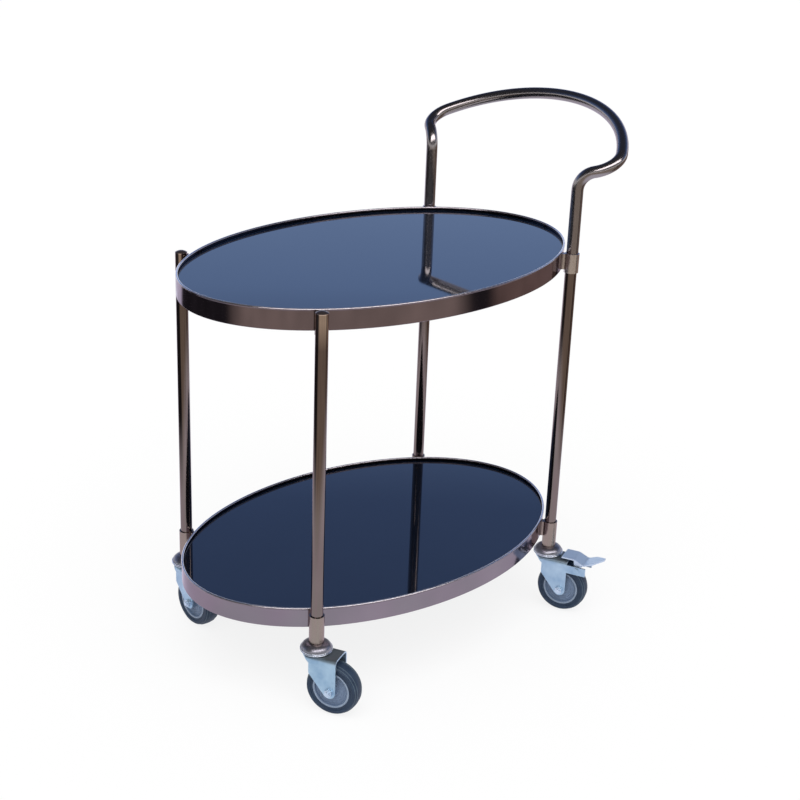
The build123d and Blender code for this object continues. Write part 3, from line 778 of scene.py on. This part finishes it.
def make_floor():
    """A wide pale floor that shows white to the camera and keeps a soft shadow under the cart."""
    material, shader = new_material("floor")
    shader.inputs["Base Color"].default_value = FLOOR_COLOUR
    shader.inputs["Roughness"].default_value = 1.0
    shader.inputs["Specular IOR Level"].default_value = 0.0
    glow = add_node(material, "ShaderNodeEmission")
    mix = add_node(material, "ShaderNodeMixShader")
    share = add_node(material, "ShaderNodeMath", operation="MULTIPLY")
    share.inputs[1].default_value = FLOOR_GLOW
    join(material, seen_ray(material), share.inputs[0])
    join(material, share.outputs["Value"], mix.inputs["Fac"])
    join(material, shader.outputs["BSDF"], mix.inputs[1])
    join(material, glow.outputs["Emission"], mix.inputs[2])
    output = material.node_tree.nodes["Material Output"]
    join(material, mix.outputs["Shader"], output.inputs["Surface"])
    add_stage("floor", wide_disc(), material)


def card_material(name):
    """A plain glowing material. Gives its emission too."""
    material = bpy.data.materials.new(name)
    material.use_nodes = True
    glow = add_node(material, "ShaderNodeEmission")
    output = material.node_tree.nodes["Material Output"]
    join(material, glow.outputs["Emission"], output.inputs["Surface"])
    return material, glow


def reflections_only(card):
    """Hides a card from everything but reflections, so that it neither shows nor lights the cart."""
    card.visible_camera = False
    card.visible_diffuse = False
    card.visible_transmission = False
    card.visible_volume_scatter = False
    card.visible_shadow = False


def distance_out(material):
    """Distance from the card's middle."""
    place = add_node(material, "ShaderNodeTexCoord")
    length = add_node(material, "ShaderNodeVectorMath", operation="LENGTH")
    join(material, place.outputs["Object"], length.inputs[0])
    return length.outputs["Value"]


def share_of_turn(material):
    """Share of a turn about the card's middle. A half is towards the camera."""
    place = add_node(material, "ShaderNodeTexCoord")
    turn = add_node(material, "ShaderNodeTexGradient", gradient_type="RADIAL")
    join(material, place.outputs["Object"], turn.inputs["Vector"])
    return turn.outputs["Fac"]


def add_wide_card(name, material, height):
    """A level card that only reflections see, turned towards the camera."""
    card = add_stage(name, wide_disc(), material)
    card.location = (0.0, 0.0, height)
    card.rotation_euler = (0.0, 0.0, TOWARDS_CAMERA)
    reflections_only(card)


def make_floor_card():
    """The floor card: pale near the cart, then brown in front, dark beside that and lilac behind."""
    material, glow = card_material("floor_card")
    around = ramp(material, share_of_turn(material), FLOOR_CARD_COLOURS)
    cloud = noise(material, *FLOOR_CARD_PATCHES)
    patches = span(material, cloud, *FLOOR_CARD_PATCH_RANGE, *FLOOR_CARD_PATCH_NOISE)
    uneven = add_node(material, "ShaderNodeVectorMath", operation="SCALE")
    join(material, around, uneven.inputs[0])
    join(material, patches, uneven.inputs["Scale"])
    share = span(material, distance_out(material), 0.0, 1.0, start=FLOOR_CARD_START, end=FLOOR_CARD_FULL)
    pale_patches = span(material, cloud, 0.0, 1.0, *PALE_FLOOR_NOISE)
    near = mix_colour(material, pale_patches, PALE_FLOOR, PALE_FLOOR_PATCH)
    join(material, mix_colour(material, share, near, uneven.outputs["Vector"]), glow.inputs["Color"])
    add_wide_card("floor_card", material, FLOOR_CARD_HEIGHT)


def make_ceiling_card():
    """The ceiling card: black over the camera, and behind the cart a blue that pales further out."""
    material, glow = card_material("ceiling_card")
    share = span(material, distance_out(material), 0.0, 1.0, end=FLOOR_RADIUS)
    blue = ramp(material, share, CEILING_COLOURS)
    sideways = add_node(material, "ShaderNodeMath", operation="SUBTRACT")
    join(material, share_of_turn(material), sideways.inputs[0])
    sideways.inputs[1].default_value = HALF_TURN
    aside = add_node(material, "ShaderNodeMath", operation="ABSOLUTE")
    join(material, sideways.outputs["Value"], aside.inputs[0])
    behind = span(material, aside.outputs["Value"], 0.0, 1.0, *CEILING_FRONT)
    join(material, mix_colour(material, behind, CEILING_FRONT_COLOUR, blue), glow.inputs["Color"])
    add_wide_card("ceiling_card", material, CEILING_HEIGHT)


def make_front_card(distance, width, bottom, top, strength):
    """A pale upright card above the camera, for the highlights on lips, bends, caps and domes."""
    forward = Vector((cos(FRONT_CARD_HEADING), sin(FRONT_CARD_HEADING), 0))
    across = Vector((-forward.y, forward.x, 0)) * width / 2
    low = forward * distance + Vector((0, 0, bottom))
    high = forward * distance + Vector((0, 0, top))
    shape = bmesh.new()
    corners = (low - across, low + across, high + across, high - across)
    shape.faces.new([shape.verts.new(point) for point in corners])
    material, glow = card_material("front_card")
    glow.inputs["Color"].default_value = FRONT_CARD_COLOUR
    glow.inputs["Strength"].default_value = strength
    reflections_only(add_stage("front_card", shape, material))


def make_world():
    """White to the camera and in reflections, and a softer even light on the cart."""
    world = bpy.data.worlds.new("studio")
    world.use_nodes = True
    bpy.context.scene.world = world
    background = world.node_tree.nodes["Background"]
    strength = span(world, seen_ray(world), WORLD_AMBIENT, 1.0)
    join(world, strength, background.inputs["Strength"])
    background.inputs["Color"].default_value = WHITE


def make_sun():
    """One very soft lamp from above the camera. Reflections show the cards in its place."""
    lamp = bpy.data.lights.new("soft_sun", "SUN")
    lamp.energy = SUN_STRENGTH
    lamp.angle = SUN_SPREAD
    light = bpy.data.objects.new("soft_sun", lamp)
    aim = -Vector(SUN_PLACE)
    light.rotation_euler = aim.to_track_quat("-Z", "Y").to_euler()
    light.visible_glossy = False
    bpy.context.collection.objects.link(light)


def make_camera():
    """The photo's camera, at the place and with the lens that were solved for it."""
    lens = bpy.data.cameras.new("camera")
    lens.sensor_width = SENSOR_WIDTH
    lens.lens = FOCAL_PIXELS / IMAGE_PIXELS * SENSOR_WIDTH
    camera = bpy.data.objects.new("camera", lens)
    turn = Matrix.Rotation(-CAMERA_YAW, MATRIX_SIZE, "Z")
    tilt = Matrix.Rotation(pi / 2 - CAMERA_PITCH, MATRIX_SIZE, "X")
    roll = Matrix.Rotation(CAMERA_ROLL, MATRIX_SIZE, "Z")
    camera.matrix_world = Matrix.Translation(CAMERA_PLACE) @ turn @ tilt @ roll
    bpy.context.collection.objects.link(camera)
    bpy.context.scene.camera = camera


make_floor()
make_floor_card()
make_ceiling_card()
make_front_card(**FRONT_CARD)
make_world()
make_sun()
make_camera()
bpy.context.scene.view_settings.view_transform = "Standard"
